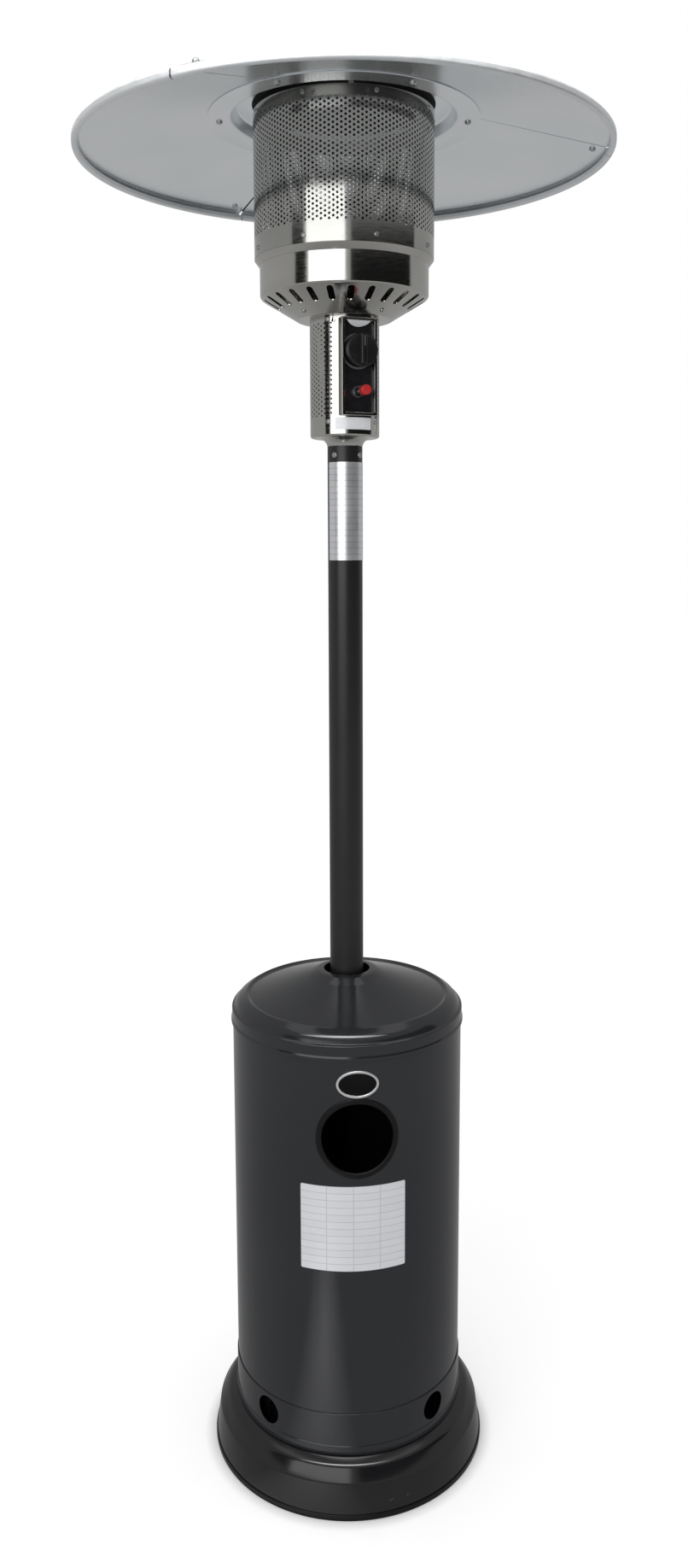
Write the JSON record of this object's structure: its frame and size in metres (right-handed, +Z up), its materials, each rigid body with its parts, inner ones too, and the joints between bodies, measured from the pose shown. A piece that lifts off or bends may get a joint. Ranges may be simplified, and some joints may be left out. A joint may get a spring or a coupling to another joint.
{
  "type": "gas patio heater",
  "caption": "Free-standing gas patio heater: round base, lift-up bottle housing, post, gas knob and igniter button, perforated emitter screen and a wide conical reflector.",
  "frame": {"origin": "on the floor, under the middle of the base", "axes": "+Z up, -Y the housing's front with its hand hole, +X to the right as seen from the front"},
  "size_m": [0.813, 0.813, 2.1926],
  "materials": {
    "housing_paint": "gloss",
    "base_paint": "satin",
    "post_paint": "satin",
    "bright_steel": "polished",
    "plain_steel": "satin",
    "zinc_steel": "zinc plated",
    "screen_steel": "satin",
    "reflector_aluminium": "satin",
    "foil": "satin",
    "edge_rubber": "matt",
    "badge_chrome": "polished",
    "badge_black": "gloss",
    "panel_black": "matt",
    "knob_black": "gloss",
    "dial_grey": "satin",
    "button_red": "gloss",
    "valve_alloy": "cast",
    "gas_brass": "satin",
    "pilot_copper": "satin",
    "burner_iron": "matt",
    "electrode_ceramic": "gloss"
  },
  "bodies": {
    "heater": {"base_pan": "base_paint", "base_deck": "base_paint", "base_edge_trim": "edge_rubber", "support_leg_left": "base_paint", "support_leg_right": "base_paint", "support_leg_back": "base_paint", "leg_bolts": "zinc_steel", "leg_nuts": "zinc_steel", "post_flange": "base_paint", "post": "post_paint", "post_screws": "zinc_steel", "post_plate": "foil", "neck": "bright_steel", "control_box": "bright_steel", "control_bezel": "bright_steel", "control_panel": "panel_black", "strip_plate": "foil", "box_screws": "zinc_steel", "dial_ring": "dial_grey", "valve_bonnet": "gas_brass", "valve_body": "valve_alloy", "gas_inlet": "gas_brass", "burner_pipe": "gas_brass", "injector": "gas_brass", "pilot_tube": "pilot_copper", "tilt_switch": "panel_black", "igniter_body": "panel_black", "igniter_nut": "zinc_steel", "burner_cup": "bright_steel", "dish_screws": "zinc_steel", "burner_stand": "plain_steel", "burner_head": "burner_iron", "pilot_bracket": "plain_steel", "pilot_burner": "gas_brass", "thermocouple": "pilot_copper", "spark_electrode": "electrode_ceramic", "screen_base_ring": "bright_steel", "emitter_screen": "screen_steel", "screen_screws": "zinc_steel", "screen_top_ring": "plain_steel", "hub_studs": "zinc_steel", "hub_spacers": "plain_steel", "reflector_hub": "reflector_aluminium", "reflector_panel_1": "reflector_aluminium", "reflector_panel_2": "reflector_aluminium", "reflector_panel_3": "reflector_aluminium", "panel_screws": "zinc_steel", "dome_nuts": "zinc_steel"},
    "tank_cover": {"tank_housing": "housing_paint", "housing_band": "housing_paint", "housing_cap": "housing_paint", "hand_hole_grommet": "edge_rubber", "badge_rim": "badge_chrome", "badge_face": "badge_black", "rating_plate": "foil"},
    "valve_plug": {"valve_plug": "gas_brass"},
    "knob": {"knob": "knob_black", "valve_stem": "zinc_steel"},
    "igniter_button": {"igniter_shank": "zinc_steel", "igniter_cap": "button_red"}
  },
  "joints": [
    {"name": "housing_lift", "type": "slide", "parent": "heater", "child": "tank_cover", "axis": [0, 0, 1], "range_m": [0, 0.65]},
    {"name": "knob_turn", "type": "hinge", "parent": "heater", "child": "valve_plug", "pos_m": [0, 0, 1.8158], "axis": [0.3007, -0.9537, 0], "range_deg": [0, 180]},
    {"name": "knob_push", "type": "slide", "parent": "valve_plug", "child": "knob", "axis": [-0.3007, 0.9537, 0], "range_m": [0, 0.0045], "stiffness_N_per_m": 1000, "springref_m": -0.004},
    {"name": "igniter_push", "type": "slide", "parent": "heater", "child": "igniter_button", "axis": [-0.3007, 0.9537, 0], "range_m": [0, 0.008], "stiffness_N_per_m": 1500, "springref_m": -0.004}
  ]
}
